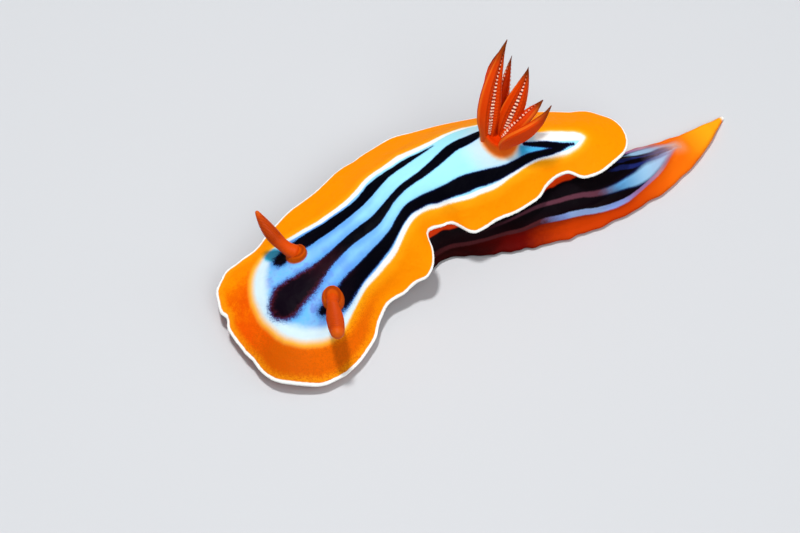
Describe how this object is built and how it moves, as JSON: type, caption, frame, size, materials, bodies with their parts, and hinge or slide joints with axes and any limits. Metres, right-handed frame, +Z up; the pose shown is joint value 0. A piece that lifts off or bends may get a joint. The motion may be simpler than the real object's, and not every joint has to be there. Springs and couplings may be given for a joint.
{
  "type": "pyjama nudibranch",
  "caption": "Still life-size sea slug crawling on its foot: banded mantle with a wavy rim, two ringed rhinophores, a gill plume and a pointed tail.",
  "frame": {"origin": "on the ground under the middle of the animal's bounding box", "axes": "+X from head to tail, +Y to the animal's right, +Z up from the sole"},
  "size_m": [0.0456, 0.0161, 0.0151],
  "materials": {
    "mantle": "wet skin, orange rim with a white edge round pale blue and black stripes",
    "flank": "wet skin, black with purple brown and pale blue lines",
    "foot": "wet skin, orange rim below a black and blue flank",
    "feelers": "satin orange red flesh in fine leaves",
    "gills": "satin orange red flesh with pale lamella edges"
  },
  "bodies": {
    "root": {"mantle_front": "mantle", "mantle_middle": "mantle", "mantle_rear": "mantle", "head": "flank", "oral_tentacle_right": "feelers", "oral_tentacle_left": "feelers", "body_front": "flank", "body_rear": "flank", "foot_front": "foot", "foot_middle": "foot", "foot_rear": "foot", "tail": "foot", "rhinophore_sheath_right": "mantle", "rhinophore_sheath_left": "mantle", "rhinophore_right": "feelers", "rhinophore_left": "feelers", "gill_collar": "mantle", "gill_leaf_1": "gills", "gill_leaf_2": "gills", "gill_leaf_3": "gills", "gill_leaf_4": "gills", "gill_leaf_5": "gills", "gill_leaf_6": "gills", "gill_leaf_7": "gills"}
  },
  "joints": []
}
